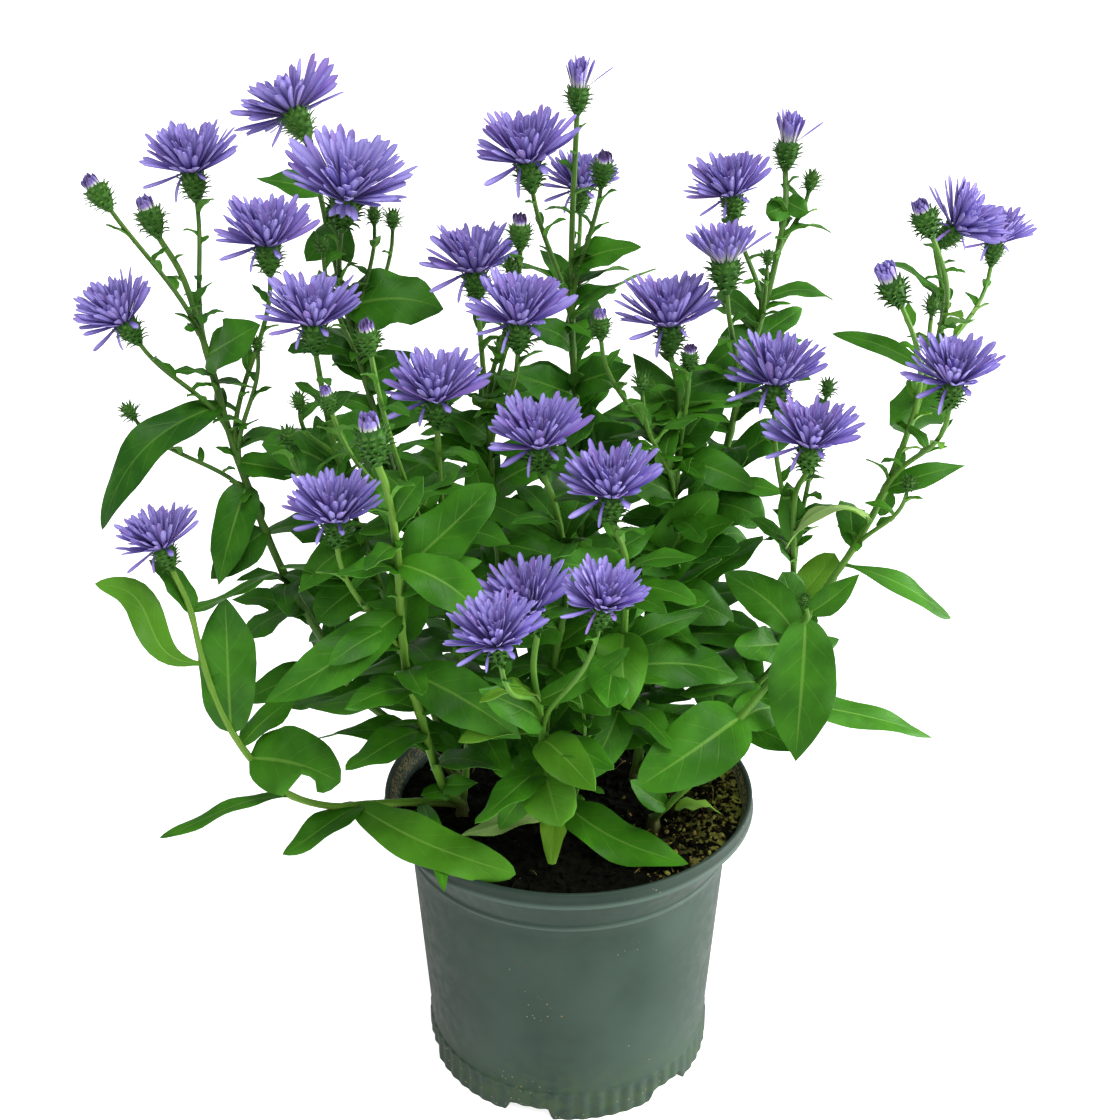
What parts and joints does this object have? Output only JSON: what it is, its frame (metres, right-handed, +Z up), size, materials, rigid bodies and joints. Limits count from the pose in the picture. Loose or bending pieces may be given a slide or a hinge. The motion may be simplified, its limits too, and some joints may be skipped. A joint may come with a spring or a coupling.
{
  "type": "potted autumn aster",
  "caption": "Bushy autumn aster with violet-blue many-rayed flowers and lance-shaped leaves, growing in a round ribbed nursery pot.",
  "frame": {"origin": "centre of the pot base, on the surface it stands on", "axes": "+Z up along the pot axis; the front of the plant is at -Y, with +X to its right"},
  "size_m": [0.2987, 0.1971, 0.3474],
  "materials": {
    "pot_plastic": "satin moulded dark grey-green plastic",
    "potting_soil": "dark crumbly potting soil, matt",
    "green_plant": "living green leaf and stem, satin",
    "violet_rays": "soft violet-blue petal, streaked"
  },
  "bodies": {
    "root": {"pot": "pot_plastic", "soil": "potting_soil", "plant_left": "green_plant", "bloom_left_1": "violet_rays", "bloom_left_2": "violet_rays", "bloom_left_3": "violet_rays", "bloom_left_4": "violet_rays", "plant_front_left": "green_plant", "bloom_front_left_1": "violet_rays", "bloom_front_left_2": "violet_rays", "bloom_front_left_3": "violet_rays", "plant_middle": "green_plant", "bloom_middle_1": "violet_rays", "bloom_middle_2": "violet_rays", "bloom_middle_3": "violet_rays", "bloom_middle_4": "violet_rays", "bloom_middle_5": "violet_rays", "bloom_middle_6": "violet_rays", "bloom_middle_7": "violet_rays", "plant_back": "green_plant", "opening_bloom_back_1": "violet_rays", "bloom_back_2": "violet_rays", "bloom_back_3": "violet_rays", "bloom_back_4": "violet_rays", "bloom_back_5": "violet_rays", "plant_right": "green_plant", "bloom_right_1": "violet_rays", "bloom_right_2": "violet_rays", "opening_bloom_right_3": "violet_rays", "bloom_right_4": "violet_rays", "plant_back_right": "green_plant", "opening_bloom_back_right_1": "violet_rays", "bloom_back_right_2": "violet_rays", "opening_bloom_back_right_3": "violet_rays", "bloom_back_right_4": "violet_rays", "bloom_back_right_5": "violet_rays", "bloom_back_right_6": "violet_rays"}
  },
  "joints": []
}
